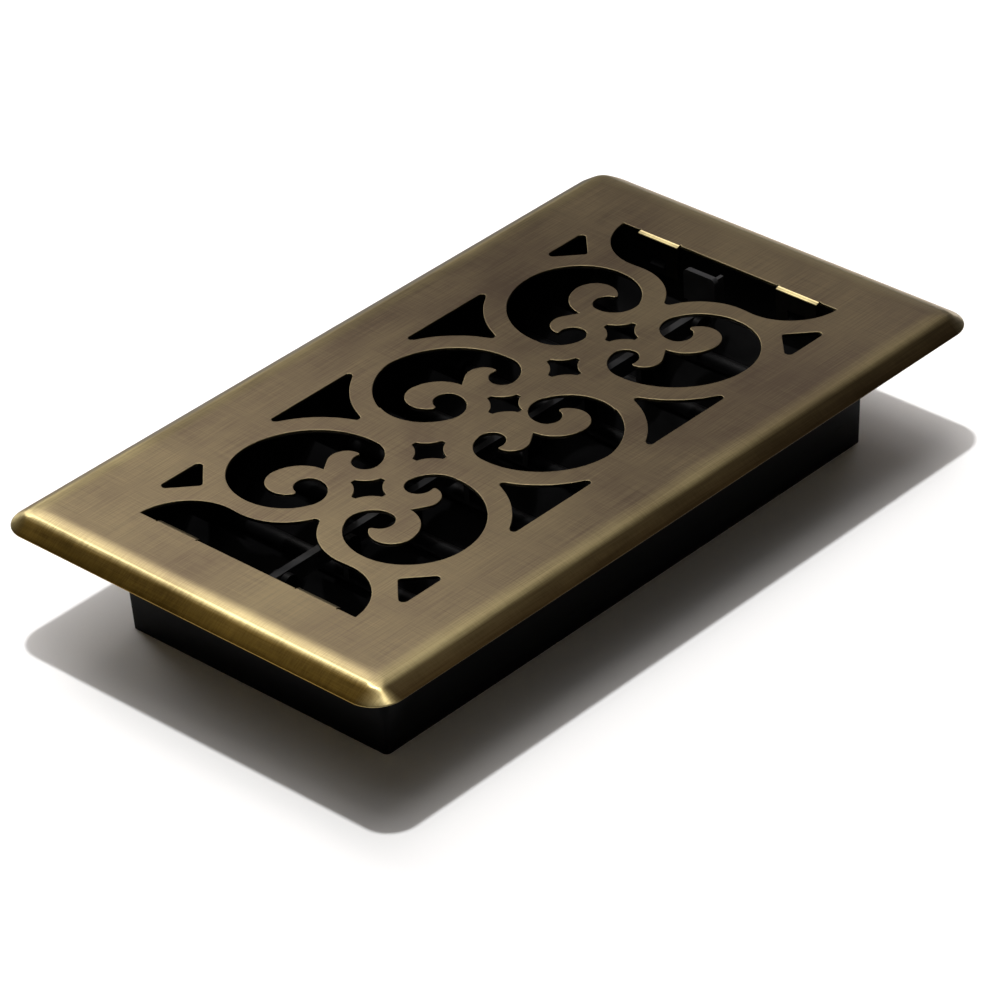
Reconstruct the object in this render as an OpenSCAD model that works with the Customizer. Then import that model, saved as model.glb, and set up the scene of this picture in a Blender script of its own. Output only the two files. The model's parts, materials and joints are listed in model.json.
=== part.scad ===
// Scroll-pattern floor register, nominal 4 x 8 inch duct: a stamped face plate clipped onto
// a drop-in damper box, whose eight louvres are tilted together by a link bar and thumb lever.
// X is the short axis, Y the long axis with the lever near +Y, Z is up.
// The origin is at the centre of the box's bottom rim, which is the lowest face.

/* [Face plate] */
// Width of the face plate across the duct
plate_w = 139.7; // [136:0.1:160]
// Length of the face plate along the duct
plate_l = 241.3; // [238:0.1:270]
// Thickness of the stamped sheet
sheet_t = 1.0; // [0.8:0.1:1.2]
// Height of the plate's top face above the box's bottom rim
plate_top_z = 40; // [39:0.5:60]
// Plan width of the sloping rim
rim_run = 4.7; // [4:0.1:6]
// Height of the rim, from its bend to its lowest edge
rim_drop = 3.5; // [3:0.1:5]
// Height of the short upright lip at the rim's lowest edge
rim_lip = 0.35; // [0.2:0.05:0.6]
// Plan width of the crowned border just inside the rim
crown_run = 5.3; // [4:0.1:7]
// Height lost over the crowned border
crown_drop = 0.75; // [0.4:0.05:1]
// Plan radius of the plate's outer corners
plate_corner_r = 9; // [7:0.5:11]
// Plan radius of the corners at the bend above the rim
bend_corner_r = 3.3; // [2:0.1:4]

/* [Scroll pattern] */
// Distance from one pair of scrolls to the next
scroll_pitch = 53.6; // [53:0.1:54]
// Stagger of the two middle scrolls, which face opposite ways
middle_stagger = 0.6; // [0:0.1:1]
// Half diagonal of the small diamonds
diamond_half = 5.75; // [5:0.05:6]
// Distance from the centre line to the outer edge of all side openings
side_edge_x = 44.9; // [44:0.1:45.2]

/* [Clip tabs] */
// Width of each clip tab
tab_w = 14.6; // [12:0.1:16]
// Distance from the centre line to the middle of each clip tab
tab_x = 25.6; // [24:0.1:28]
// Length of each clip tab below the plate's top face
tab_len = 11; // [10:0.1:12]
// Outside radius of the tab's bend
tab_bend_r = 1.5; // [1.3:0.1:1.8]
// Width and depth of the relief nick at each side of a tab
tab_nick = 0.4; // [0.3:0.1:0.8]

/* [Damper box] */
// Width of the box at its bottom rim
box_w = 94.6; // [92:0.1:96]
// Length of the box at its bottom rim
box_l = 193.2; // [190:0.1:194]
// How far each wall leans outward from bottom to top
box_draft = 1.8; // [1:0.1:2]
// Wall thickness of the box
box_wall = 1.4; // [1.2:0.1:1.6]
// Plan radius of the box's corners at the bottom rim
box_corner_r = 1.5; // [1:0.5:5]

/* [Louvres] */
// Distance from one louvre's pivot to the next
louvre_pitch = 23.6; // [23.6:0.1:23.7]
// Width of each louvre from edge to edge
louvre_w = 24.4; // [24:0.1:24.6]
// Thickness of each louvre's blade
louvre_t = 1.2; // [1:0.1:1.4]
// Length of each louvre between the side walls
louvre_l = 89.8; // [89:0.1:90]
// Height of the pivots above the bottom rim
pivot_z = 17; // [16:0.5:18]
// Tilt of the louvres from flat, as drawn
louvre_tilt = 45; // [40:1:50]
// Diameter of each pivot pin
pivot_pin_d = 4; // [3:0.5:5]
// Diameter of the round spine along each louvre
spine_d = 5; // [5:0.5:6]

/* [Link bar and lever] */
// Distance from a louvre's pivot to its link pin
crank_r = 10; // [9:0.5:10]
// Diameter of the link pins
link_pin_d = 3; // [2.5:0.5:3.5]
// Thickness of the link bar
link_t = 2.4; // [2:0.2:2.6]
// Depth of the link bar
link_h = 5.2; // [4.8:0.2:5.4]
// Sideways place of the link bar
link_x = -2; // [-3:0.5:-1]
// Width of the thumb lever
lever_w = 11.5; // [10:0.5:12]
// Thickness of the thumb lever
lever_t = 1.8; // [1.6:0.1:2]
// Place of the thumb lever along the plate, as drawn
lever_y = 84.6; // [84.2:0.1:85]
// Height of the thumb lever above the plate's top face
lever_rise = 3; // [2:0.5:4]
// Radial clearance of every pin in its hole
pin_gap = 0.05; // [0.03:0.01:0.08]

/* [Hidden] */
LOUVRES = 8;

brass = "#73664f";
black_plastic = "#101011";
louvre_black = "#18181a";

// Clearance between parts that pass each other without bearing
side_gap = 0.4;
// Overshoot of a cutting shape past the face it cuts
over = 1;

// Fineness of faceted corners and of the drawn arcs
corner_fn = 24;
round_fn = 48;
arc_step = 9;
slab = 0.02;
crown_levels = 3;

plate_under_z = plate_top_z - sheet_t;
rim_z = plate_top_z - crown_drop - rim_drop;
box_top_z = plate_under_z;
end_edge_y = 96.6;
tab_face_y = end_edge_y - tab_bend_r;
tab_foot_z = plate_top_z - tab_len;
pin_z = pivot_z + crank_r;
link_end_y = lever_y + 4.5;
pivot_hole_d = pivot_pin_d + 2 * pin_gap;
link_hole_d = link_pin_d + 2 * pin_gap;

// Scroll outline, in the frame of one scroll with its small curl up (+Y) and the plate's
// centre line at x = 0. Each entry is [centre x, centre y, radius]; every circle is
// internally tangent to the next one, from the small curl's cap to the large curl's cap.
small_curl = [[9.7, 12.3, 4.0], [14.8, 11.8, 9.1]];
large_curl = [[12.9, -9.4, 7.2], [13.3, -6.2, 4.0]];
end_sweep = [[15.9, -3.4, 24.3], [21.5, -2.8, 18.6], [19.8, -6.3, 14.7]];
middle_sweep = [[15.8, -2.8, 23.7], [27.3, -1.4, 12.1], [16.7, 1.05, 23.0], [19.8, -6.3, 14.7]];

// Metal side of the same outline: the two curled leaves and the cusp between them
large_leaf_tip = [14.5, -10.95, 0.9];
large_leaf = [19.1, -7.5, 6.6];
large_leaf_back = [15.3, -8.0, 10.4];
cusp = [15.9, 2.4];
small_leaf = [14.2, 9.1, 5.0];
small_leaf_tip = [14.15, 13.5, 0.6];

function centre(c) = [c[0], c[1]];
function heading(from, to) = atan2(to[1] - from[1], to[0] - from[0]);

// Points on circle c from angle a to angle b, turning the way the signs say
function arc(c, a, b) =
    let (n = max(2, ceil(abs(b - a) / arc_step)))
    [for (i = [0:n]) centre(c) + c[2] * [cos(a + (b - a) * i / n), sin(a + (b - a) * i / n)]];

// The same arc, always turning clockwise or always anticlockwise
function arc_cw(c, a, b) = arc(c, a, b < a ? b : b - 360);
function arc_ccw(c, a, b) = arc(c, a, b > a ? b : b + 360);

// Angle at which two internally tangent circles meet
function tangent_angle(p, q) = p[2] < q[2] ? heading(q, p) : heading(p, q);

// Clockwise outline through a list of tangent circles, from angle a to angle b
function sweep(list, a, b) = [
    for (i = [0:len(list) - 1])
    let (from = i == 0 ? a : tangent_angle(list[i - 1], list[i]))
    let (to = i == len(list) - 1 ? b : tangent_angle(list[i], list[i + 1]))
    each arc_cw(list[i], from, to)
];

function scroll_outline(outer) =
    let (
        small_cap = small_curl[0],
        large_cap = large_curl[1],
        outer_side = sweep(concat(small_curl, outer, large_curl),
            heading(small_cap, small_leaf_tip), heading(large_cap, large_leaf_tip)),
        tip_1 = arc_ccw(large_leaf_tip,
            heading(large_leaf_tip, large_cap), heading(large_leaf, large_leaf_tip)),
        leaf_1 = arc_ccw(large_leaf,
            heading(large_leaf, large_leaf_tip), heading(large_leaf_back, large_leaf)),
        back_1 = arc_ccw(large_leaf_back,
            heading(large_leaf_back, large_leaf), heading(large_leaf_back, cusp)),
        leaf_2 = arc_ccw(small_leaf, -32, heading(small_leaf, small_leaf_tip)),
        tip_2 = arc_ccw(small_leaf_tip,
            heading(small_leaf, small_leaf_tip), heading(small_leaf_tip, small_cap))
    )
    concat(outer_side, tip_1, leaf_1, back_1, [cusp], leaf_2, tip_2);

// One scroll opening; flip_x puts it left of the centre line, flip_y turns it head down
module scroll(outer, y, flip_x, flip_y) {
    translate([0, y])
        scale([flip_x ? -1 : 1, flip_y ? -1 : 1])
        polygon(scroll_outline(outer));
}

// Concave four-pointed star
module diamond(y) {
    scoop_c = 8.4;
    scoop_r = 8.1;
    translate([0, y])
        intersection() {
            difference() {
                square(2 * diamond_half, center = true);
                for (sx = [-1, 1], sy = [-1, 1])
                    translate([sx * scoop_c, sy * scoop_c])
                    circle(r = scoop_r, $fn = 64);
            }
            circle(r = diamond_half, $fn = 64);
        }
}

// Large opening between two rings: straight outer edge and two concave edges.
// Its three corners are round: the tip and the two ends of the straight edge.
module side_triangle(side, y) {
    ring = [15.2, 30.5, 31.6];
    corner_r = 1.1;
    tip = [27.0, 0, corner_r];
    end = [side_edge_x - corner_r, 14.3, corner_r];
    other_end = [end[0], -end[1], corner_r];
    upper = arc_cw(ring, heading(ring, end), heading(ring, tip));
    lower = [for (i = [len(upper) - 1:-1:0]) [upper[i][0], -upper[i][1]]];
    turn_at_end = heading(end, ring);
    turn_at_tip = heading(tip, ring);
    translate([0, y])
        scale([side, 1])
        polygon(concat(
            arc_ccw(end, 0, turn_at_end),
            upper,
            arc_ccw(tip, turn_at_tip, 360 - turn_at_tip),
            lower,
            arc_ccw(other_end, 360 - turn_at_end, 360)
        ));
}

// Small opening beside the end of each outer ring, a triangle with round corners
module corner_triangle(side, end) {
    corner_r = 1.4;
    half_h = 5.9;
    mid_y = 77.0;
    tip = [37.4, mid_y, 1.2];
    outer_end = [side_edge_x - corner_r, mid_y + half_h, corner_r];
    inner_end = [side_edge_x - corner_r, mid_y - half_h, corner_r];
    slope = heading(tip, outer_end) + 90;
    scale([side, end])
        polygon(concat(
            arc_ccw(outer_end, 0, slope),
            arc_ccw(tip, slope, 360 - slope),
            arc_ccw(inner_end, 360 - slope, 360)
        ));
}

// Wide opening at each end of the plate, straight along the clip tabs
module end_opening(end) {
    shoulder = [22.5, end_edge_y + 0.8, 17.0];
    hollow = [18.1, 61.5, 19.1];
    tip = [0, 71.1, 1.4];
    edge_angle = asin((end_edge_y - shoulder[1]) / shoulder[2]);
    half = concat(
        arc_cw(shoulder, edge_angle, -90),
        arc_ccw(hollow, 90, heading(hollow, tip)),
        arc_cw(tip, heading(tip, hollow), -90)
    );
    mirrored = [for (i = [len(half) - 1:-1:0]) [-half[i][0], half[i][1]]];
    scale([1, end])
        polygon(concat(half, mirrored));
}

// All openings of the face plate, as one flat pattern
module pattern() {
    for (side = [false, true]) {
        scroll(end_sweep, -scroll_pitch, side, false);
        scroll(end_sweep, scroll_pitch, side, true);
        scroll(middle_sweep, side ? middle_stagger : -middle_stagger, side, !side);
    }
    for (y = [-50.6, -27, 2.9, 27, 50.6])
        diamond(y);
    for (side = [-1, 1], end = [-1, 1]) {
        side_triangle(side, end * 27);
        corner_triangle(side, end);
    }
    for (end = [-1, 1])
        end_opening(end);
}

// Thin rounded rectangle used as one level of a hulled shell
module level(half_x, half_y, r, z) {
    for (sx = [-1, 1], sy = [-1, 1])
        translate([sx * (half_x - r), sy * (half_y - r), z])
        cylinder(r = r, h = slab, $fn = corner_fn);
}

// Convex plate form: lip, sloping rim, crowned border and flat top, inset and lowered by steps
module plate_form(rim_inset, lip, bend_inset, bend_lower, top_lower, floor_z) {
    hx = plate_w / 2;
    hy = plate_l / 2;
    crown_r = (crown_run * crown_run + crown_drop * crown_drop) / (2 * crown_drop);
    hull() {
        for (z = [floor_z, floor_z + lip])
            level(hx - rim_inset, hy - rim_inset, plate_corner_r - rim_inset, z);
        for (k = [0:crown_levels]) {
            out = crown_run * k / crown_levels;
            drop = crown_r - sqrt(crown_r * crown_r - out * out);
            in = rim_run + crown_run - out + bend_inset;
            lower = top_lower + (bend_lower - top_lower) * k / crown_levels;
            level(hx - in, hy - in, bend_corner_r - bend_inset, plate_top_z - drop - lower - slab);
        }
    }
}

// Bent clip tab with its catch window, at the +Y end and the +X side
module clip_tab() {
    window_w = 6.2;
    window_h = 3.4;
    window_rise = 1.8;
    bend_z = plate_top_z - tab_bend_r;
    translate([tab_x - tab_w / 2, end_edge_y, bend_z])
        rotate([90, 0, 90])
        linear_extrude(tab_w)
        intersection() {
            difference() {
                circle(r = tab_bend_r, $fn = round_fn);
                circle(r = tab_bend_r - sheet_t, $fn = round_fn);
            }
            translate([-tab_bend_r, 0])
                square([tab_bend_r, tab_bend_r]);
        }
    difference() {
        translate([tab_x - tab_w / 2, tab_face_y, tab_foot_z])
            cube([tab_w, sheet_t, bend_z - tab_foot_z]);
        translate([tab_x - window_w / 2, tab_face_y - over, tab_foot_z + window_rise])
            cube([window_w, sheet_t + 2 * over, window_h]);
    }
}

module face_plate() {
    rim_slope = atan2(rim_drop - rim_lip, rim_run);
    inner_rim = sheet_t / sin(rim_slope) - rim_lip / tan(rim_slope);
    inner_bend = sheet_t * tan(rim_slope / 2);
    color(brass) {
        difference() {
            plate_form(0, rim_lip, 0, 0, 0, rim_z);
            plate_form(inner_rim, 0, inner_bend, sheet_t, sheet_t, rim_z - slab);
            translate([0, 0, plate_under_z - over])
                linear_extrude(sheet_t + 2 * over)
                pattern();
            for (sx = [-1, 1], sy = [-1, 1], edge = [-1, 1])
                translate([sx * tab_x + edge * (tab_w + tab_nick) / 2, sy * end_edge_y, plate_top_z])
                cube([tab_nick, 2 * tab_nick, 4 * sheet_t], center = true);
        }
        for (sx = [0, 1], sy = [0, 1])
            mirror([sx, 0, 0])
            mirror([0, sy, 0])
            clip_tab();
    }
}

// Drafted box form with rounded corners, inset by the wall where needed
module box_form(inset, extra) {
    lean = box_draft / box_top_z;
    least_corner_r = 0.6;
    hull() {
        for (z = [-extra, box_top_z + extra - slab]) {
            out = lean * z - inset;
            level(box_w / 2 + out, box_l / 2 + out, max(box_corner_r + out, least_corner_r), z);
        }
    }
}

// Catch that snaps into a clip tab's window: flat below, sloping above
module tab_catch() {
    catch_w = 5;
    catch_h = 3;
    nose_h = 0.6;
    low_z = tab_foot_z + 2;
    root_y = end_edge_y + nose_h;
    nose_y = tab_face_y - side_gap;
    translate([tab_x - catch_w / 2, 0, 0])
        rotate([90, 0, 90])
        linear_extrude(catch_w)
        polygon([[root_y, low_z], [nose_y, low_z], [nose_y, low_z + nose_h], [root_y, low_z + catch_h]]);
}

module damper_box() {
    boss_d = 8.4;
    end_play = 0.3;
    boss_face_x = louvre_l / 2 + end_play;
    boss_root_x = (box_w - box_wall) / 2 + box_draft * pivot_z / box_top_z;
    color(black_plastic)
        difference() {
            union() {
                difference() {
                    box_form(0, 0);
                    box_form(box_wall, over);
                }
                for (sx = [0, 1], k = [0:LOUVRES - 1])
                    mirror([sx, 0, 0])
                    translate([boss_face_x, louvre_y(k), pivot_z])
                    rotate([0, 90, 0])
                    cylinder(d = boss_d, h = boss_root_x - boss_face_x, $fn = round_fn);
                for (sx = [0, 1], sy = [0, 1])
                    mirror([sx, 0, 0])
                    mirror([0, sy, 0])
                    tab_catch();
            }
            for (k = [0:LOUVRES - 1])
                translate([-box_w, louvre_y(k), pivot_z])
                rotate([0, 90, 0])
                cylinder(d = pivot_hole_d, h = 2 * box_w, $fn = round_fn);
        }
}

// Pivot of louvre k, counted from the lever's end
function louvre_y(k) = ((LOUVRES - 1) / 2 - k) * louvre_pitch;

// Louvre about its own pivot axis, tilted as drawn; its crank stands straight up.
// The crank plate is on one side of the link bar and the link pin's head on the other.
module louvre_shape() {
    pin_stub = 0.6;
    pin_reach = box_w / 2 + pin_stub;
    crank_t = 2;
    crank_d = 5.2;
    head_t = 0.8;
    head_d = link_pin_d + 0.9;
    crank_x = link_x + link_t / 2 + side_gap;
    head_x = link_x - link_t / 2 - side_gap - head_t;
    slot_x = head_x - side_gap;
    slot_w = crank_x + crank_t / 2 - slot_x;
    slot_y = spine_d / 2 + 1.6;
    rotate([louvre_tilt, 0, 0])
        difference() {
            translate([-louvre_l / 2, -louvre_w / 2, -louvre_t / 2])
                cube([louvre_l, louvre_w, louvre_t]);
            translate([slot_x, slot_y, -louvre_t])
                cube([slot_w, louvre_w, 2 * louvre_t]);
        }
    rotate([0, 90, 0]) {
        cylinder(d = spine_d, h = louvre_l, center = true, $fn = round_fn);
        cylinder(d = pivot_pin_d, h = 2 * pin_reach, center = true, $fn = round_fn);
    }
    translate([crank_x, 0, 0])
        rotate([90, 0, 90])
        linear_extrude(crank_t)
        union() {
            for (up = [0, crank_r])
                translate([0, up])
                circle(d = crank_d, $fn = round_fn);
            translate([-crank_d / 2, 0])
                square([crank_d, crank_r]);
        }
    translate([head_x, 0, crank_r])
        rotate([0, 90, 0]) {
            cylinder(d = link_pin_d, h = crank_x + crank_t / 2 - head_x, $fn = round_fn);
            cylinder(d = head_d, h = head_t, $fn = round_fn);
        }
}

module louvre(k) {
    color(louvre_black)
        translate([0, louvre_y(k), pivot_z])
        louvre_shape();
}

module link_bar() {
    tail = 5;
    start_y = louvre_y(LOUVRES - 1) - tail;
    color(louvre_black)
        difference() {
            translate([link_x - link_t / 2, start_y, pin_z - link_h / 2])
                cube([link_t, link_end_y - start_y, link_h]);
            for (k = [0:LOUVRES - 1])
                translate([link_x - link_t, louvre_y(k), pin_z])
                rotate([0, 90, 0])
                cylinder(d = link_hole_d, h = 2 * link_t, $fn = round_fn);
        }
}

// Round-cornered blade, seen from the end of the plate
module lever_blade(low_z, high_z) {
    corner_r = 1.5;
    half_w = lever_w / 2;
    translate([-half_w, low_z])
        square([lever_w, high_z - corner_r - low_z]);
    translate([corner_r - half_w, low_z])
        square([lever_w - 2 * corner_r, high_z - low_z]);
    for (sx = [-1, 1])
        translate([sx * (half_w - corner_r), high_z - corner_r])
        circle(r = corner_r, $fn = round_fn);
}

// Thumb lever: blade and rear web on a saddle, whose two cheeks grip the end of the link bar
// beyond the reach of the first louvre's crank
module thumb_lever() {
    grip = 0.1;
    cheek_t = 1.1;
    crank_clear = 4.2;
    blade_drop = 6.6;
    web_t = 1.2;
    web_reach = 2.6;
    web_inset = 0.3;
    web_drop = 0.5;
    front_y = lever_y - lever_t / 2;
    foot_end_y = link_end_y - side_gap;
    foot_w = link_t + 2 * (grip + cheek_t);
    cheek_y = louvre_y(0) + crank_clear;
    saddle_z = pin_z + link_h / 2 + grip;
    blade_z = plate_top_z - blade_drop;
    top_z = plate_top_z + lever_rise;
    web_x = lever_w / 2 - web_inset - web_t;
    color(louvre_black)
        difference() {
            union() {
                translate([link_x - foot_w / 2, front_y, saddle_z])
                    cube([foot_w, foot_end_y - front_y, blade_z - saddle_z]);
                translate([link_x - foot_w / 2, cheek_y, pin_z])
                    cube([foot_w, foot_end_y - cheek_y, blade_z - pin_z]);
                translate([0, front_y + lever_t, 0])
                    rotate([90, 0, 0])
                    linear_extrude(lever_t)
                    lever_blade(blade_z, top_z);
                translate([web_x, lever_y, blade_z])
                    cube([web_t, lever_t / 2 + web_reach, top_z - web_drop - blade_z]);
            }
            translate([link_x - link_t / 2 - grip, cheek_y - over, pin_z - over])
                cube([link_t + 2 * grip, link_end_y - cheek_y + 2 * over, saddle_z - pin_z + over]);
        }
}

face_plate();
damper_box();
louvre(0);  // louvre_1
louvre(1);  // louvre_2
louvre(2);  // louvre_3
louvre(3);  // louvre_4
louvre(4);  // louvre_5
louvre(5);  // louvre_6
louvre(6);  // louvre_7
louvre(7);  // louvre_8
link_bar();
thumb_lever();
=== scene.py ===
import json
import math

import bmesh
import bpy
import numpy as np
from mathutils import Matrix, Vector
from mathutils.geometry import delaunay_2d_cdt


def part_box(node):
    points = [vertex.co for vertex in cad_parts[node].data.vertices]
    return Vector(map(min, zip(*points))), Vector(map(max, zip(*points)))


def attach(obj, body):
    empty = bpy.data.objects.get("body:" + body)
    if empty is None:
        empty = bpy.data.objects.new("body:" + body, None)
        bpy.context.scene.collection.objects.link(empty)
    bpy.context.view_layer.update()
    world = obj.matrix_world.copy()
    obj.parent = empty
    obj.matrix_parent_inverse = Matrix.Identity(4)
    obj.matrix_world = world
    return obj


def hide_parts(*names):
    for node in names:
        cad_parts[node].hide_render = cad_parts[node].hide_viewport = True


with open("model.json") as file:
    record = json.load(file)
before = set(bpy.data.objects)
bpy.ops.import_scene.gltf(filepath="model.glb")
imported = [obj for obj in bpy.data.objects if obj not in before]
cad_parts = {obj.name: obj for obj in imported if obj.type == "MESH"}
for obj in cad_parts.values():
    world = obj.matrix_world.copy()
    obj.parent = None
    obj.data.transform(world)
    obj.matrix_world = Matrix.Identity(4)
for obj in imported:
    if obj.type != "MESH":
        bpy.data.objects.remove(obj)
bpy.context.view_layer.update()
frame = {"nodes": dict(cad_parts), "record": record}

MM = 0.001
TOUCH = 1e-6  # two points closer than this are one point

# Camera, in the row frame; azimuth is measured from -Y towards +X, and angles are in degrees
LENS = 185.8
SENSOR = 36.0
CAMERA_AZIMUTH = 44.29
CAMERA_ELEVATION = 32.84
CAMERA_ROLL = -3.31
CAMERA_DISTANCE = 1.358
AIM_X = 31.4 * MM
AIM_Y = -33.2 * MM

# Face plate
SHEET = 1.0 * MM  # thickness
EDGE_ROLL = 0.12 * MM  # round left along a stamped edge
FLAT_INSET = 10.4 * MM  # from the plate's edge to where its top is flat
RIM_RUN = 4.7 * MM  # width of the sloping rim, seen from above
CROWN_DROP = 0.92 * MM  # fall of the crowned border from the flat to the bend
RIM_LIP = 0.35 * MM  # height of the upright lip at the edge
BEND_ROUND = 1.5 * MM  # what the round at the bend takes from each side of it
CORNER_R = 9.0 * MM  # of the plate's corners at the edge
BEND_CORNER_R = 3.3 * MM  # and at the bend
CORNER_STEPS = 16
SLIGHT_TURN = math.radians(1.5)  # an opening's outline that turns more than this is round there
HARD_TURN = math.radians(32)  # and one that turns more than this has a corner
BURR = 0.06 * MM  # small break of the stamped edges' lower side
END_NICK = 0.4 * MM  # depth of the relief nicks beside each clip tab
EDGE_RUB = 0.5  # how bright the stamped edges are rubbed
EDGE_PAINTED_SHADE = 0.72  # how much painted shade darkens the sides of the openings and the tabs' ends
TAB_PAINTED_SHADE = 0.5  # and how much it darkens the tabs' middles and the edges in line with them

# The four clip tabs, as the CAD plate has them
TAB_X = 25.6 * MM
TAB_W = 14.6 * MM
TAB_BEND = 1.5 * MM
SHOULDER_FALL = 19  # slope in degrees of the pressed shoulder above each tab's leg
SHOULDER_LENGTH = 1.75 * MM
SHOULDER_STEPS = 14
TAB_WINDOW_W = 6.2 * MM
TAB_WINDOW_H = 3.4 * MM
TAB_WINDOW_UP = 1.8 * MM

# Brass colours
PATINA_DARK = (0.138, 0.102, 0.068)
PATINA_LIGHT = (0.285, 0.228, 0.13)
RUBBED_DARK = (0.27, 0.22, 0.098)
RUBBED_LIGHT = (0.44, 0.37, 0.185)
SHORT_RIM_DARK = (0.21, 0.125, 0.021)
SHORT_RIM_LIGHT = (0.35, 0.215, 0.04)
# Painted shade: the long sides' rim colours, much darker than the short ends'
SHADED_LONG_RIM_DARK = (0.04, 0.024, 0.0075)
SHADED_LONG_RIM_LIGHT = (0.072, 0.045, 0.015)
# Painted shade: near black for the openings' sides, the tabs and the plate's underside
PAINTED_SHADE_COLOUR = (0.012, 0.01, 0.008)

# Plastic colours, the darkest and the lightest of each
BOX_DARK = (0.0009, 0.0009, 0.001)
BOX_LIGHT = (0.0018, 0.0018, 0.002)
LOUVRE_DARK = (0.0012, 0.0012, 0.0013)
LOUVRE_LIGHT = (0.0024, 0.0024, 0.0026)
LINK_DARK = (0.01, 0.01, 0.0105)
LINK_LIGHT = (0.018, 0.018, 0.019)


# ---------------------------------------------------------------- mesh helpers

def new_object(name, bm):
    mesh = bpy.data.meshes.new(name)
    bm.to_mesh(mesh)
    bm.free()
    obj = bpy.data.objects.new(name, mesh)
    bpy.context.scene.collection.objects.link(obj)
    return obj


def cad_mesh(node):
    """A clean bmesh of a CAD node: shared points, and flat faces instead of their triangles."""
    bm = bmesh.new()
    bm.from_mesh(frame["nodes"][node].data)
    bmesh.ops.remove_doubles(bm, verts=bm.verts, dist=TOUCH)
    bmesh.ops.dissolve_limit(bm, angle_limit=math.radians(0.5), verts=bm.verts, edges=bm.edges)
    return bm


def shade(bm, sharp_angle):
    for face in bm.faces:
        face.smooth = True
    for edge in bm.edges:
        edge.smooth = edge.is_manifold and edge.calc_face_angle(0.0) < sharp_angle


def refined(node, name, round_mm, body, material):
    """A moulded version of a CAD node: the same solid with its sharp edges rounded."""
    bm = cad_mesh(node)
    shade(bm, math.radians(30))
    obj = new_object(name, bm)
    bevel = obj.modifiers.new("rounded_edges", "BEVEL")
    bevel.width = round_mm * MM
    bevel.segments = 2
    bevel.limit_method = "ANGLE"
    bevel.angle_limit = math.radians(35)
    bevel.use_clamp_overlap = True
    bevel.harden_normals = False
    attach(obj, body)
    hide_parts(node)
    obj.data.materials.clear()
    obj.data.materials.append(material)


# ---------------------------------------------------------------- outlines of the openings

def flat_top_loops(bm, top_z):
    """Closed loops of points round the flat top: the border first, then each opening."""
    def on_top(face):
        return face.normal.z > 0.9999 and abs(face.calc_center_median().z - top_z) < 10 * TOUCH

    links = {}
    for edge in bm.edges:
        if sum(on_top(face) for face in edge.link_faces) == 1:
            for a, b in (edge.verts, reversed(edge.verts)):
                links.setdefault(a, []).append(b)
    loops = []
    unused = set(links)
    while unused:
        start = min(unused, key=lambda v: (round(v.co.x, 6), round(v.co.y, 6)))
        loop = [start]
        unused.discard(start)
        while True:
            ahead = [v for v in links[loop[-1]] if v in unused]
            if not ahead:
                break
            loop.append(ahead[0])
            unused.discard(ahead[0])
        loops.append(np.array([(v.co.x, v.co.y) for v in loop]))
    loops.sort(key=lambda p: (-np.ptp(p[:, 0]) * np.ptp(p[:, 1]), p[:, 1].mean(), p[:, 0].mean()))
    return loops


def area(points):
    x, y = points[:, 0], points[:, 1]
    return 0.5 * float(np.sum(x * np.roll(y, -1) - y * np.roll(x, -1)))


def turns(points):
    """Turning angle at each point of a closed loop."""
    before = points - np.roll(points, 1, axis=0)
    after = np.roll(points, -1, axis=0) - points
    cross = before[:, 0] * after[:, 1] - before[:, 1] * after[:, 0]
    dot = (before * after).sum(axis=1)
    return np.arctan2(cross, dot)


def smoothed(points, parts=3):
    """The loop with points added on its round stretches; corners and straights stay."""
    turn = np.abs(turns(points))
    count = len(points)
    out = []
    for i in range(count):
        p1, p2 = points[i], points[(i + 1) % count]
        out.append(p1)
        bend_1 = SLIGHT_TURN < turn[i] < HARD_TURN
        bend_2 = SLIGHT_TURN < turn[(i + 1) % count] < HARD_TURN
        if not (bend_1 or bend_2):
            continue
        p0 = points[i - 1] if bend_1 else 2 * p1 - p2
        p3 = points[(i + 2) % count] if bend_2 else 2 * p2 - p1
        length = np.linalg.norm(p2 - p1)
        t1 = (p2 - p0) / max(np.linalg.norm(p2 - p0), TOUCH) * length
        t2 = (p3 - p1) / max(np.linalg.norm(p3 - p1), TOUCH) * length
        for k in range(1, parts):
            s = k / parts
            out.append((2 * s**3 - 3 * s**2 + 1) * p1 + (s**3 - 2 * s**2 + s) * t1
                       + (3 * s**2 - 2 * s**3) * p2 + (s**3 - s**2) * t2)
    return np.array(out)


def into_metal(points):
    """At each point of an anticlockwise loop, the step that moves its edge 1 unit into the metal."""
    before = points - np.roll(points, 1, axis=0)
    after = np.roll(points, -1, axis=0) - points
    before /= np.linalg.norm(before, axis=1)[:, None]
    after /= np.linalg.norm(after, axis=1)[:, None]
    out_1 = np.stack([before[:, 1], -before[:, 0]], axis=1)
    out_2 = np.stack([after[:, 1], -after[:, 0]], axis=1)
    both = out_1 + out_2
    size = (both**2).sum(axis=1)
    longest = 2.2  # at a sharp corner the step stays this short
    return both * np.minimum(2 / np.maximum(size, TOUCH), longest)[:, None]


def inside(loop, x, y):
    """Even-odd test of many points against one loop."""
    hit = np.zeros(len(x), bool)
    ax, ay = loop[:, 0], loop[:, 1]
    bx, by = np.roll(ax, -1), np.roll(ay, -1)
    for x1, y1, x2, y2 in zip(ax, ay, bx, by):
        crosses = (y1 > y) != (y2 > y)
        if crosses.any():
            hit[crosses] ^= x[crosses] < (x2 - x1) * (y[crosses] - y1) / (y2 - y1) + x1
    return hit


# ---------------------------------------------------------------- face plate

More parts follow.
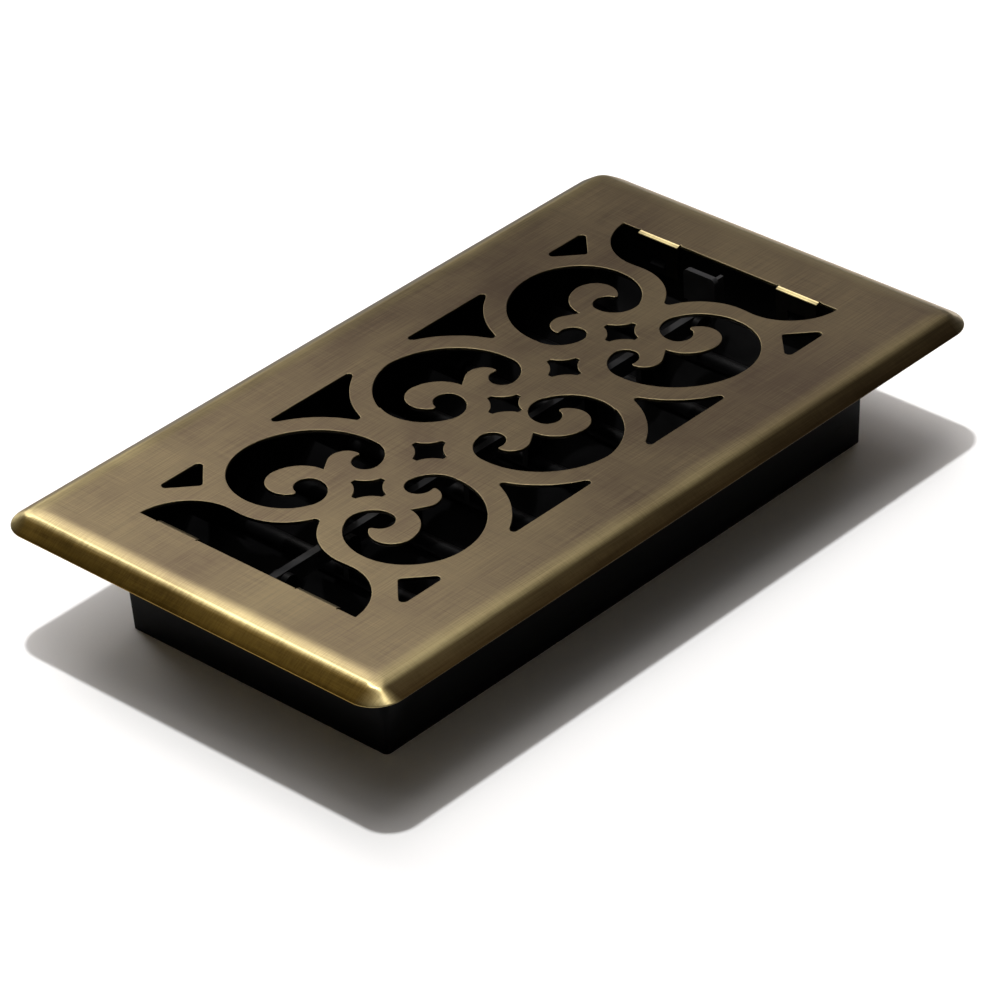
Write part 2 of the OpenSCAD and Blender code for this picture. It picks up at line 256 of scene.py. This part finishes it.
def ring_points(half_x, half_y, inset, radius):
    """Rounded rectangle, anticlockwise, the same number of points at every inset."""
    hx, hy = half_x - inset - radius, half_y - inset - radius
    points = []
    for quarter, (sx, sy) in enumerate(((1, 1), (-1, 1), (-1, -1), (1, -1))):
        for k in range(CORNER_STEPS + 1):
            angle = math.radians(90 * (quarter + k / CORNER_STEPS))
            points.append((sx * hx + radius * math.cos(angle), sy * hy + radius * math.sin(angle)))
    return points


def round_corner(before, corner, after, size, steps=4):
    """Points of a curve that cuts the corner off, leaving each side at the given distance from it."""
    before, corner, after = (np.array(p) for p in (before, corner, after))
    start = corner + (before - corner) / np.linalg.norm(before - corner) * size
    end = corner + (after - corner) / np.linalg.norm(after - corner) * size
    steps = [k / steps for k in range(steps + 1)]
    return [tuple((1 - s)**2 * start + 2 * s * (1 - s) * corner + s**2 * end) for s in steps]


def rim_profile(drop_total):
    """(inset, drop) points over the crown, down the rim, round its lip and back up inside."""
    crown_run = FLAT_INSET - RIM_RUN
    crown_r = (crown_run**2 + CROWN_DROP**2) / (2 * CROWN_DROP)
    bend = (RIM_RUN, CROWN_DROP)
    lip_top = (0.0, drop_total - RIM_LIP)
    lip_low = (0.0, drop_total)
    slope = math.atan2(lip_top[1] - bend[1], RIM_RUN)
    edge_w = SHEET / math.sin(slope) - RIM_LIP / math.tan(slope)
    crown = []
    for k in range(11):
        out = crown_run * k / 10
        crown.append((FLAT_INSET - out, crown_r - math.sqrt(crown_r**2 - out**2)))
    profile = [p for p in crown if p[0] > RIM_RUN + BEND_ROUND]
    profile += round_corner(crown[-2], bend, lip_top, BEND_ROUND, 6)
    start = profile[-1]
    for s in (0.3, 0.6):
        profile.append((start[0] * (1 - s), start[1] + (lip_top[1] - start[1]) * s))
    profile += round_corner(bend, lip_top, lip_low, RIM_LIP * 0.45)
    profile += round_corner(lip_top, lip_low, (edge_w, drop_total), RIM_LIP * 0.45)
    inner_edge = (edge_w, drop_total)
    inner_bend = (RIM_RUN + SHEET * math.tan(slope / 2), CROWN_DROP + SHEET)
    profile += round_corner(lip_low, inner_edge, inner_bend, 0.1 * MM, 2)
    for s in (0.33, 0.66):
        profile.append(tuple((1 - s) * np.array(inner_edge) + s * np.array(inner_bend)))
    profile += [(inset, drop + SHEET) for inset, drop in crown[::-1] if inset >= inner_bend[0]]
    return profile


def rim_corner_r(inset):
    """Plan radius of the plate's corners, large at the edge and small at the bend."""
    return CORNER_R + (BEND_CORNER_R - CORNER_R) * min(inset / RIM_RUN, 1)


def fill_flat(bm, border, openings, upward):
    """Triangulated flat sheet between a border and openings, all given as lists of bmesh points."""
    verts = list(border)
    edges = [(i, (i + 1) % len(border)) for i in range(len(border))]
    loops = []
    for loop in openings:
        base = len(verts)
        verts += loop
        edges += [(base + i, base + (i + 1) % len(loop)) for i in range(len(loop))]
        loops.append(np.array([(v.co.x, v.co.y) for v in loop]))
    flat = [Vector((v.co.x, v.co.y)) for v in verts]
    points, _, faces, origins, _, _ = delaunay_2d_cdt(flat, edges, [], 0, 1e-9)
    source = [verts[o[0]] if o else None for o in origins]
    centres = np.array([np.mean([points[i] for i in face], axis=0) for face in faces])
    keep = inside(np.array([(v.co.x, v.co.y) for v in border]), centres[:, 0], centres[:, 1])
    for loop in loops:
        keep &= ~inside(loop, centres[:, 0], centres[:, 1])
    for triangle, wanted in zip(faces, keep):
        corners = [source[i] for i in triangle]
        if wanted and None not in corners and len(set(corners)) == 3:
            face = bm.faces.new(corners if upward else corners[::-1])
            face.normal_update()
            if (face.normal.z > 0) != upward:
                face.normal_flip()


def brush_map(bm):
    """Lays the plate flat for its brushed finish: u runs across the brushing and v along it."""
    across, along = 0.31, 0.37  # share of the height added, so that upright faces aren't folded to a line
    layer = bm.loops.layers.uv.new("brushing")
    for face in bm.faces:
        for loop in face.loops:
            x, y, z = loop.vert.co
            loop[layer].uv = (x + across * z, y + along * z)


def clamped(value):
    return min(max(value, 0), 1)


def add_wear(mesh, half_x, half_y, top, fold):
    """Point attributes that the brass follows: where it is rubbed bright, where its rim is tarnished and,
    on the long sides, darkened with painted shade, and where painted shade darkens the openings' sides,
    the tabs and the underside.
    """
    rubbed = mesh.attributes.new("rubbed", "FLOAT", "POINT")
    rim_tarnish_and_shade = mesh.attributes.new("rim_tarnish_and_shade", "FLOAT", "POINT")
    shaded_long_side = mesh.attributes.new("shaded_long_side", "FLOAT", "POINT")
    painted_shade = mesh.attributes.new("painted_shade", "FLOAT", "POINT")
    border_gap = 1.0 * MM  # the openings are further than this from the crowned border
    edge_depth, side_depth = 0.005 * MM, 0.02 * MM  # below the top, where an edge and its side begin
    tab_start = fold - END_NICK  # clear of the opening's own edge beside the tab
    tab_end = 0.5 * MM  # length of each of a tab's two ends, which take the stronger painted shade of the openings' sides
    corner_start, corner_span, corner_rub = 0.4, 0.6, 0.85
    for vertex in mesh.vertices:
        x, y, z = vertex.co
        side, end = half_x - abs(x), half_y - abs(y)
        inset = min(side, end)
        depth = top - z
        in_opening = inset > FLAT_INSET + border_gap
        on_side = in_opening and abs(y) < tab_start and depth > side_depth
        rub = 1 - clamped((inset - RIM_RUN) / (FLAT_INSET - RIM_RUN))
        if in_opening and edge_depth < depth < TAB_BEND:
            on_shoulder = on_side and abs(y) > tab_start - TAB_BEND
            rub = 1.0 if on_shoulder else EDGE_RUB
        rubbed.data[vertex.index].value = rub
        sloping = clamped((RIM_RUN - inset) / BEND_ROUND + 0.5)
        near_corner = 1 - clamped((max(side, end) / CORNER_R - corner_start) / corner_span)
        rim_tarnish_and_shade.data[vertex.index].value = sloping * (1 - corner_rub * near_corner)
        # Painted shade: marks the long sides, whose rim is painted darker
        shaded_long_side.data[vertex.index].value = 1.0 if side < end else 0.0
        # Painted shade: near black below 0.6 of the sheet inside the flat part (the openings' lower sides,
        # the tabs' legs, the underside), and partly on the openings' upper sides and the tabs' shoulders
        shade_here = 0.0
        if on_side:
            by_tab = abs(abs(x) - TAB_X) <= TAB_W / 2 - tab_end
            shade_here = TAB_PAINTED_SHADE if by_tab else EDGE_PAINTED_SHADE
        painted_shade.data[vertex.index].value = 1.0 if in_opening and depth > 0.6 * SHEET else shade_here


def build_face_plate():
    """The pressed sheet: border and rim from their profile, and the openings as the CAD plate has them."""
    half_x, half_y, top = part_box("face_plate")[1]
    source = cad_mesh("face_plate")
    loops = flat_top_loops(source, top)
    rim_z = min(v.co.z for v in source.verts if abs(v.co.x) > half_x - RIM_LIP)
    source.free()
    openings = []
    for loop in loops[1:]:
        loop = smoothed(loop)
        openings.append(loop if area(loop) > 0 else loop[::-1])

    bm = bmesh.new()
    rings = []
    for inset, drop in rim_profile(top - rim_z):
        ring = ring_points(half_x, half_y, inset, rim_corner_r(inset))
        rings.append([bm.verts.new((x, y, top - drop)) for x, y in ring])
    for a, b in zip(rings, rings[1:]):
        for i in range(len(a)):
            j = (i + 1) % len(a)
            bm.faces.new((a[i], a[j], b[j], b[i])[::-1]).smooth = True

    fold = max(p[:, 1].max() for p in openings) - END_NICK
    quarter_round = [(1.0, 0.0), (0.62, 0.08), (0.29, 0.29), (0.08, 0.62), (0.0, 1.0)]
    top_loops, bottom_loops = [], []
    for points in openings:
        push = into_metal(points)
        turn = np.abs(turns(points))
        folded = [on_fold(p, fold) for p in points]
        rolls = [(roll_out * EDGE_ROLL, roll_down * EDGE_ROLL) for roll_out, roll_down in quarter_round]
        rolls += [(0.0, SHEET - BURR), (BURR, SHEET)]
        levels = []
        for out, down in rolls:
            level = []
            for p, m, at_fold in zip(points, push, folded):
                if at_fold:
                    # The tab carries on from here, so the sheet keeps its full section
                    out_here, down_here = 0.0, (SHEET if down > SHEET / 2 else 0.0)
                else:
                    out_here, down_here = out, down
                place = (p[0] + m[0] * out_here, p[1] + m[1] * out_here, top - down_here)
                level.append(bm.verts.new(place))
            levels.append(level)
        for a, b in zip(levels, levels[1:]):
            for i in range(len(a)):
                j = (i + 1) % len(a)
                if folded[i] and folded[j] and on_fold((points[i] + points[j]) / 2, fold):
                    continue
                bm.faces.new((a[i], a[j], b[j], b[i])).smooth = True
        for i, t in enumerate(turn):
            if t > HARD_TURN:
                for a, b in zip(levels, levels[1:]):
                    edge = bm.edges.get((a[i], b[i]))
                    if edge:
                        edge.smooth = False
        top_loops.append(levels[0])
        bottom_loops.append(levels[-1])
    fill_flat(bm, rings[0], top_loops, True)
    fill_flat(bm, rings[-1], bottom_loops, False)
    for side, end in ((1, 1), (1, -1), (-1, 1), (-1, -1)):
        add_tab(bm, side, end, fold, top)
    bmesh.ops.remove_doubles(bm, verts=bm.verts, dist=TOUCH)
    bmesh.ops.dissolve_degenerate(bm, edges=bm.edges, dist=TOUCH / 10)
    bmesh.ops.recalc_face_normals(bm, faces=bm.faces)
    brush_map(bm)
    plate = new_object("stamped_face_plate", bm)
    add_wear(plate.data, half_x, half_y, top, fold)
    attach(plate, "frame")
    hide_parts("face_plate")
    return plate


def on_fold(point, fold):
    """True where an opening's edge is the fold line of a clip tab."""
    slack = 0.02 * MM
    return abs(abs(point[1]) - fold) < slack and abs(abs(point[0]) - TAB_X) < TAB_W / 2 + slack


def add_tab(bm, side, end, fold, top):
    """Sheet folded down from the opening's edge, with a catch window in its leg."""
    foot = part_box("face_plate")[0].z
    centre_z = top - TAB_BEND
    inner = TAB_BEND - SHEET
    xs = [TAB_X + dx for dx in (-TAB_W / 2, -TAB_WINDOW_W / 2, TAB_WINDOW_W / 2, TAB_W / 2)]
    # Each row is one level of the tab: y and z on its outer face, then y and z on its inner face
    rows = []
    outer_y, outer_z = fold, top
    for k in range(SHOULDER_STEPS + 1):
        angle = math.radians(90 + 90 * k / SHOULDER_STEPS)
        rows.append((outer_y, outer_z, fold + inner * math.cos(angle), centre_z + inner * math.sin(angle)))
        fall = math.radians(SHOULDER_FALL + (90 - SHOULDER_FALL) * ((k + 1) / SHOULDER_STEPS) ** 7)
        outer_y -= SHOULDER_LENGTH / SHOULDER_STEPS * math.cos(fall)
        outer_z -= SHOULDER_LENGTH / SHOULDER_STEPS * math.sin(fall)
    window_low = foot + TAB_WINDOW_UP
    for z in (window_low + TAB_WINDOW_H, window_low, foot):
        rows.append((outer_y, z, fold - inner, z))
    window_row = len(rows) - 3
    front = [[bm.verts.new((side * x, end * y, z)) for x in xs] for y, z, _, _ in rows]
    back = [[bm.verts.new((side * x, end * y, z)) for x in xs] for _, _, y, z in rows]
    for r in range(len(rows) - 1):
        for c in range(3):
            if r == window_row and c == 1:
                continue
            for skin in (front, back):
                face = bm.faces.new((skin[r][c], skin[r][c + 1], skin[r + 1][c + 1], skin[r + 1][c]))
                face.smooth = skin is front and r < SHOULDER_STEPS
        for c in (0, 3):
            bm.faces.new((front[r][c], front[r + 1][c], back[r + 1][c], back[r][c]))
    for c in range(3):
        bm.faces.new((front[-1][c], front[-1][c + 1], back[-1][c + 1], back[-1][c]))
    r = window_row
    corners = ((r, 1), (r, 2), (r + 1, 2), (r + 1, 1))
    for (r1, c1), (r2, c2) in zip(corners, corners[1:] + corners[:1]):
        bm.faces.new((front[r1][c1], front[r2][c2], back[r2][c2], back[r1][c1]))


# ---------------------------------------------------------------- materials

class Nodes:
    """Short way to build a node tree."""

    def __init__(self, name):
        self.material = bpy.data.materials.new(name)
        self.material.use_nodes = True
        self.tree = self.material.node_tree
        self.tree.nodes.clear()
        self.out = self.add("ShaderNodeOutputMaterial")
        self.shader = self.add("ShaderNodeBsdfPrincipled")
        self.join(self.shader.outputs["BSDF"], self.out.inputs["Surface"])
        self.place = self.add("ShaderNodeTexCoord").outputs["Object"]

    def add(self, kind, **settings):
        node = self.tree.nodes.new(kind)
        for key, value in settings.items():
            setattr(node, key, value)
        return node

    def join(self, source, target):
        self.tree.links.new(source, target)

    def stretched(self, x, y, z):
        """The object's own coordinates, scaled so that features are about 1/x, 1/y and 1/z metres long."""
        node = self.add("ShaderNodeMapping")
        node.inputs["Scale"].default_value = (x, y, z)
        self.join(self.place, node.inputs["Vector"])
        return node.outputs["Vector"]

    def noise(self, vector, scale=1.0, detail=3.0, rough=0.5, distortion=0.0):
        node = self.add("ShaderNodeTexNoise")
        node.inputs["Scale"].default_value = scale
        node.inputs["Detail"].default_value = detail
        node.inputs["Roughness"].default_value = rough
        node.inputs["Distortion"].default_value = distortion
        self.join(vector, node.inputs["Vector"])
        return node.outputs["Fac"]

    def spread(self, value, low, high, to_low=0.0, to_high=1.0):
        node = self.add("ShaderNodeMapRange", clamp=True)
        node.inputs["From Min"].default_value = low
        node.inputs["From Max"].default_value = high
        node.inputs["To Min"].default_value = to_low
        node.inputs["To Max"].default_value = to_high
        self.join(value, node.inputs["Value"])
        return node.outputs["Result"]

    def maths(self, operation, a, b):
        node = self.add("ShaderNodeMath", operation=operation)
        for socket, value in zip(node.inputs, (a, b)):
            if isinstance(value, (int, float)):
                socket.default_value = value
            else:
                self.join(value, socket)
        return node.outputs["Value"]

    def weighed(self, *parts):
        """The sum of some values, each times its weight."""
        total = None
        for value, weight in parts:
            part = self.maths("MULTIPLY", value, weight)
            total = part if total is None else self.maths("ADD", total, part)
        return total

    def mix(self, factor, a, b):
        node = self.add("ShaderNodeMix", data_type="RGBA")
        self.join(factor, node.inputs["Factor"])
        for socket, value in ((node.inputs[6], a), (node.inputs[7], b)):
            if isinstance(value, tuple):
                socket.default_value = (*value, 1.0)
            else:
                self.join(value, socket)
        return node.outputs[2]

    def bump(self, height, distance, strength):
        node = self.add("ShaderNodeBump")
        node.inputs["Distance"].default_value = distance
        node.inputs["Strength"].default_value = strength
        self.join(height, node.inputs["Height"])
        return node.outputs["Normal"]

    def set(self, **values):
        for key, value in values.items():
            socket = self.shader.inputs[key.replace("_", " ").title()]
            if hasattr(value, "links"):
                self.join(value, socket)
            else:
                socket.default_value = (*value, 1.0) if isinstance(value, tuple) else value


def brass_material():
    """Antique brass: dark patina brushed along the plate, rubbed brighter and yellower at the rim, with
    painted shade on the long sides' rim, the openings' sides, the tabs and the underside.
    """
    n = Nodes("brushed_antique_brass")
    # Streaks 0.3 and 0.1 mm wide along the plate, others 0.2 mm wide across it, and 5 to 8 cm clouds
    long_streaks = n.noise(n.stretched(3000, 45, 600), detail=4, rough=0.65)
    fine_streaks = n.noise(n.stretched(9000, 120, 1200), detail=2, rough=0.6)
    cross_streaks = n.noise(n.stretched(60, 4200, 600), detail=3, rough=0.6)
    clouds = n.noise(n.stretched(20, 13, 20), detail=4, rough=0.6, distortion=0.4)
    worn = n.add("ShaderNodeAttribute", attribute_name="rubbed").outputs["Fac"]
    rim_tarnish_and_shade = n.add("ShaderNodeAttribute", attribute_name="rim_tarnish_and_shade").outputs["Fac"]
    shaded_long_side = n.add("ShaderNodeAttribute", attribute_name="shaded_long_side").outputs["Fac"]
    painted_shade = n.add("ShaderNodeAttribute", attribute_name="painted_shade").outputs["Fac"]
    streaks = n.weighed((long_streaks, 0.6), (cross_streaks, 0.4))
    tone = n.weighed((streaks, 0.7), (clouds, 0.5))
    shade_of_tone = n.spread(tone, 0.5, 0.73)
    patina = n.mix(shade_of_tone, PATINA_DARK, PATINA_LIGHT)
    rubbed = n.mix(shade_of_tone, RUBBED_DARK, RUBBED_LIGHT)
    short_rim = n.mix(shade_of_tone, SHORT_RIM_DARK, SHORT_RIM_LIGHT)
    shaded_long_rim = n.mix(shade_of_tone, SHADED_LONG_RIM_DARK, SHADED_LONG_RIM_LIGHT)
    # Painted shade: the long sides' rim takes a much darker colour than the short ends' rim
    rim = n.mix(shaded_long_side, short_rim, shaded_long_rim)
    edge = n.maths("MULTIPLY", worn, n.spread(clouds, 0.3, 0.6, 0.7, 1.0))
    colour = n.mix(rim_tarnish_and_shade, n.mix(edge, patina, rubbed), rim)
    # Painted shade: the openings' sides, the tabs and the underside darkened towards near black
    colour = n.mix(painted_shade, colour, PAINTED_SHADE_COLOUR)
    rough = n.spread(streaks, 0.38, 0.62, 0.33, 0.43)
    rough = n.maths("ADD", rough, n.spread(clouds, 0.35, 0.7, -0.02, 0.03))
    height = n.weighed((long_streaks, 0.5), (fine_streaks, 0.5), (cross_streaks, 0.22))
    n.set(base_color=colour, metallic=1.0, roughness=rough, anisotropic=0.9,
          normal=n.bump(height, 0.01 * MM, 0.5))
    tangent = n.add("ShaderNodeTangent", direction_type="UV_MAP", uv_map="brushing")
    n.join(tangent.outputs["Tangent"], n.shader.inputs["Tangent"])
    return n.material


def plastic_material(name, dark, light, rough_low, rough_high, shine):
    """Moulded black plastic: spark-eroded grain, flow marks and a little polish."""
    n = Nodes(name)
    grain_size = 0.35 * MM
    grain = n.noise(n.stretched(1, 1, 1), scale=1 / grain_size, detail=3, rough=0.6)
    flow = n.noise(n.stretched(60, 18, 90), detail=4, rough=0.55, distortion=0.8)
    scuffs = n.noise(n.stretched(900, 120, 500), detail=4, rough=0.7)
    colour = n.mix(n.spread(flow, 0.3, 0.7), dark, light)
    rough = n.spread(flow, 0.3, 0.7, rough_low, rough_high)
    rough = n.maths("ADD", rough, n.spread(scuffs, 0.55, 0.8, 0.0, 0.12))
    n.set(base_color=colour, roughness=rough, normal=n.bump(grain, 0.02 * MM, 0.35))
    n.shader.inputs["Specular IOR Level"].default_value = shine
    return n.material


def floor_material():
    n = Nodes("pale_floor")
    mottle = n.noise(n.stretched(6, 6, 6), detail=2)
    n.set(base_color=n.mix(mottle, (0.93, 0.93, 0.93), (0.95, 0.95, 0.95)), roughness=0.9)
    n.shader.inputs["Specular IOR Level"].default_value = 0.1
    return n.material


# ---------------------------------------------------------------- camera, light and floor

def build_camera():
    az, el, roll = (math.radians(v) for v in (CAMERA_AZIMUTH, CAMERA_ELEVATION, CAMERA_ROLL))
    back = Vector((math.sin(az) * math.cos(el), -math.cos(az) * math.cos(el), math.sin(el)))
    right = Vector((math.cos(az), math.sin(az), 0))
    up = back.cross(right)
    turned_right = math.cos(roll) * right + math.sin(roll) * up
    turned_up = -math.sin(roll) * right + math.cos(roll) * up
    data = bpy.data.cameras.new("camera")
    data.lens = LENS
    data.sensor_width = SENSOR
    data.clip_start = 0.05
    data.clip_end = 50
    camera = bpy.data.objects.new("camera", data)
    bpy.context.scene.collection.objects.link(camera)
    aim = Vector((AIM_X, AIM_Y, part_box("face_plate")[1].z))
    place = Matrix((turned_right, turned_up, back)).transposed().to_4x4()
    place.translation = aim + back * CAMERA_DISTANCE
    camera.matrix_world = place
    bpy.context.scene.camera = camera


def softbox(name, azimuth, elevation, distance, half_angle, brightness, colour=(1, 1, 1)):
    """Round area light facing the object; azimuth is measured from +X towards +Y, in degrees.

    half_angle is how large the object sees it; brightness is the light that it brings there."""
    data = bpy.data.lights.new(name, "AREA")
    data.shape = "DISK"
    data.size = 2 * distance * math.tan(math.radians(half_angle))
    data.energy = math.pi * distance**2 * brightness
    data.color = colour
    light = bpy.data.objects.new(name, data)
    bpy.context.scene.collection.objects.link(light)
    az, el = math.radians(azimuth), math.radians(elevation)
    direction = Vector((math.cos(el) * math.cos(az), math.cos(el) * math.sin(az), math.sin(el)))
    light.location = direction * distance
    light.rotation_mode = "QUATERNION"
    light.rotation_quaternion = direction.to_track_quat("Z", "Y")


def build_stage():
    """White floor, a small hard key light, and soft lights mostly from behind and from the left."""
    bm = bmesh.new()
    bmesh.ops.create_grid(bm, x_segments=8, y_segments=8, size=3.0)
    floor = new_object("floor", bm)
    floor.data.materials.append(floor_material())
    warm = (1.0, 0.96, 0.93)
    cool = (1.0, 0.94, 0.96)
    # Azimuth, elevation, distance, half angle and brightness
    softbox("key", 161, 84, 4.0, 1.3, 2.1)
    softbox("overhead", 0, 90, 1.2, 15, 0.74, warm)
    softbox("high_left", 135, 68, 1.2, 11, 0.38, warm)
    softbox("high_front", -46, 68, 1.2, 9, 0.12, warm)
    softbox("high_front_left", -90, 68, 1.2, 11, 0.12, warm)
    softbox("low_front", -46, 46, 1.8, 8, 0.06, warm)
    softbox("upper_left", 138, 50, 1.2, 11, 0.42, warm)
    softbox("upper_far_left", 165, 50, 1.2, 11, 0.41, warm)
    softbox("upper_back", 105, 50, 1.2, 11, 0.11, cool)
    softbox("low_left", 165, 33, 1.5, 11, 0.41, warm)
    softbox("low_back", 115, 33, 1.5, 11, 0.11, cool)
    softbox("lowest_back", 115, 15, 1.8, 11, 0.07, cool)
    world = bpy.data.worlds.new("studio")
    world.use_nodes = True
    background = world.node_tree.nodes["Background"]
    background.inputs["Color"].default_value = (1.0, 0.95, 0.9, 1)
    background.inputs["Strength"].default_value = 0.018
    bpy.context.scene.world = world
    bpy.context.scene.view_settings.view_transform = "Standard"


build_camera()
build_stage()

face_plate = build_face_plate()
face_plate.data.materials.append(brass_material())

# Each plastic's colours, least and greatest roughness, and shine
box_black = plastic_material("black_box_plastic", BOX_DARK, BOX_LIGHT, 0.4, 0.52, 0.07)
louvre_black = plastic_material("black_louvre_plastic", LOUVRE_DARK, LOUVRE_LIGHT, 0.4, 0.52, 0.07)
link_black = plastic_material("black_link_plastic", LINK_DARK, LINK_LIGHT, 0.34, 0.45, 0.14)

# CAD node, new name, edge round in mm, body and material
refined("damper_box", "moulded_damper_box", 0.35, "frame", box_black)
for body, nodes in frame["record"]["behaviour"]["bodies"].items():
    for node in nodes:
        if node.startswith("louvre"):
            refined(node, "moulded_" + node, 0.25, body, louvre_black)
refined("link_bar", "moulded_link_bar", 0.2, "link", link_black)
refined("thumb_lever", "moulded_thumb_lever", 0.25, "link", link_black)
